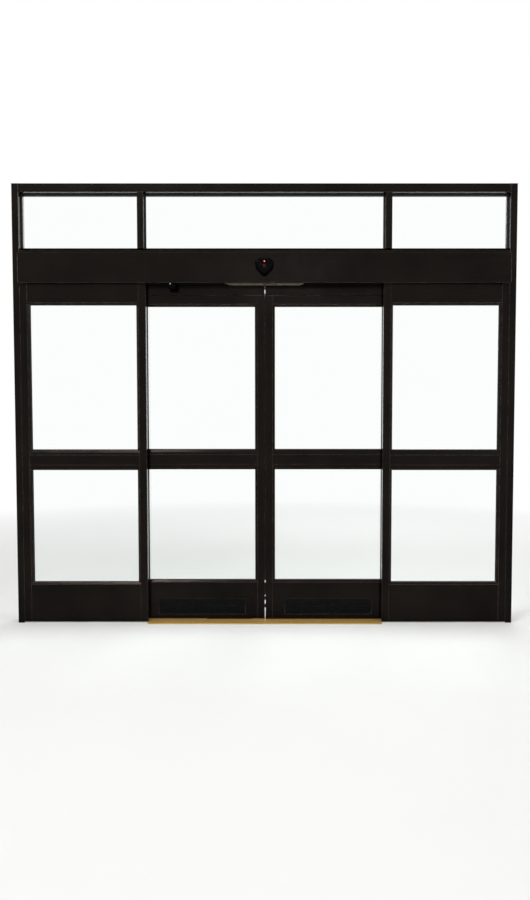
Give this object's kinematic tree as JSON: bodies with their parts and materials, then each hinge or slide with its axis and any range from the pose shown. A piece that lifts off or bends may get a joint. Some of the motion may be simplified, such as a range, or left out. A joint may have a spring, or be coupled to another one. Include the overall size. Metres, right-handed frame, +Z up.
{
  "type": "automatic sliding entrance door",
  "caption": "Automatic bi-parting sliding entrance with breakout leaves, fixed sidelights, a header with its roller track and a glazed transom.",
  "frame": {"origin": "on the floor, at the centre of the doorway, under the threshold", "axes": "+X to the right as seen from the room, +Y towards the street, +Z up"},
  "size_m": [3.328, 0.24, 2.921],
  "materials": {
    "bronze_frame": "dark bronze anodised, satin",
    "glass": "clear, polished",
    "gold_threshold": "worn, brushed",
    "mill_aluminium": "mill",
    "black_plastic": "glossy",
    "steel": "zinc plated",
    "nylon": "moulded"
  },
  "bodies": {
    "frame": {"left_jamb": "bronze_frame", "right_jamb": "bronze_frame", "head": "bronze_frame", "transom_sill": "bronze_frame", "mullions": "bronze_frame", "transom_glass": "glass", "header_body": "bronze_frame", "header_cover": "bronze_frame", "header_end_caps": "bronze_frame", "header_track": "mill_aluminium", "underside_plate": "mill_aluminium", "threshold": "gold_threshold", "left_floor_track": "mill_aluminium", "right_floor_track": "mill_aluminium", "inside_sensor": "black_plastic", "outside_sensor": "black_plastic", "left_sidelight_interlock_stile": "bronze_frame", "left_sidelight_jamb_stile": "bronze_frame", "left_sidelight_top_rail": "bronze_frame", "left_sidelight_mid_rail": "bronze_frame", "left_sidelight_bottom_rail": "bronze_frame", "left_sidelight_glass": "glass", "right_sidelight_interlock_stile": "bronze_frame", "right_sidelight_jamb_stile": "bronze_frame", "right_sidelight_top_rail": "bronze_frame", "right_sidelight_mid_rail": "bronze_frame", "right_sidelight_bottom_rail": "bronze_frame", "right_sidelight_glass": "glass"},
    "left_carriage": {"left_hanger_rail": "bronze_frame", "left_carriages": "steel", "left_rollers": "nylon"},
    "right_carriage": {"right_hanger_rail": "bronze_frame", "right_carriages": "steel", "right_rollers": "nylon"},
    "left_leaf": {"left_leaf_meeting_stile": "bronze_frame", "left_leaf_pivot_stile": "bronze_frame", "left_leaf_top_rail": "bronze_frame", "left_leaf_mid_rail": "bronze_frame", "left_leaf_bottom_rail": "bronze_frame", "left_leaf_kick_plate": "black_plastic", "left_leaf_glass": "glass", "left_guide_pin": "steel"},
    "right_leaf": {"right_leaf_meeting_stile": "bronze_frame", "right_leaf_pivot_stile": "bronze_frame", "right_leaf_top_rail": "bronze_frame", "right_leaf_mid_rail": "bronze_frame", "right_leaf_bottom_rail": "bronze_frame", "right_leaf_kick_plate": "black_plastic", "right_leaf_glass": "glass", "right_guide_pin": "steel"}
  },
  "joints": [
    {"name": "left_slide", "type": "slide", "parent": "frame", "child": "left_carriage", "axis": [-1, 0, 0], "range_m": [0, 0.735]},
    {"name": "right_slide", "type": "slide", "parent": "frame", "child": "right_carriage", "axis": [1, 0, 0], "range_m": [0, 0.735]},
    {"name": "left_breakout", "type": "hinge", "parent": "left_carriage", "child": "left_leaf", "pos_m": [-0.836, 0.031, 0], "axis": [0, 0, 1], "range_deg": [0, 90]},
    {"name": "right_breakout", "type": "hinge", "parent": "right_carriage", "child": "right_leaf", "pos_m": [0.836, 0.031, 0], "axis": [0, 0, -1], "range_deg": [0, 90]}
  ],
  "couplings": [
    {"joint": "right_slide", "follows": "left_slide", "ratio": 1}
  ]
}
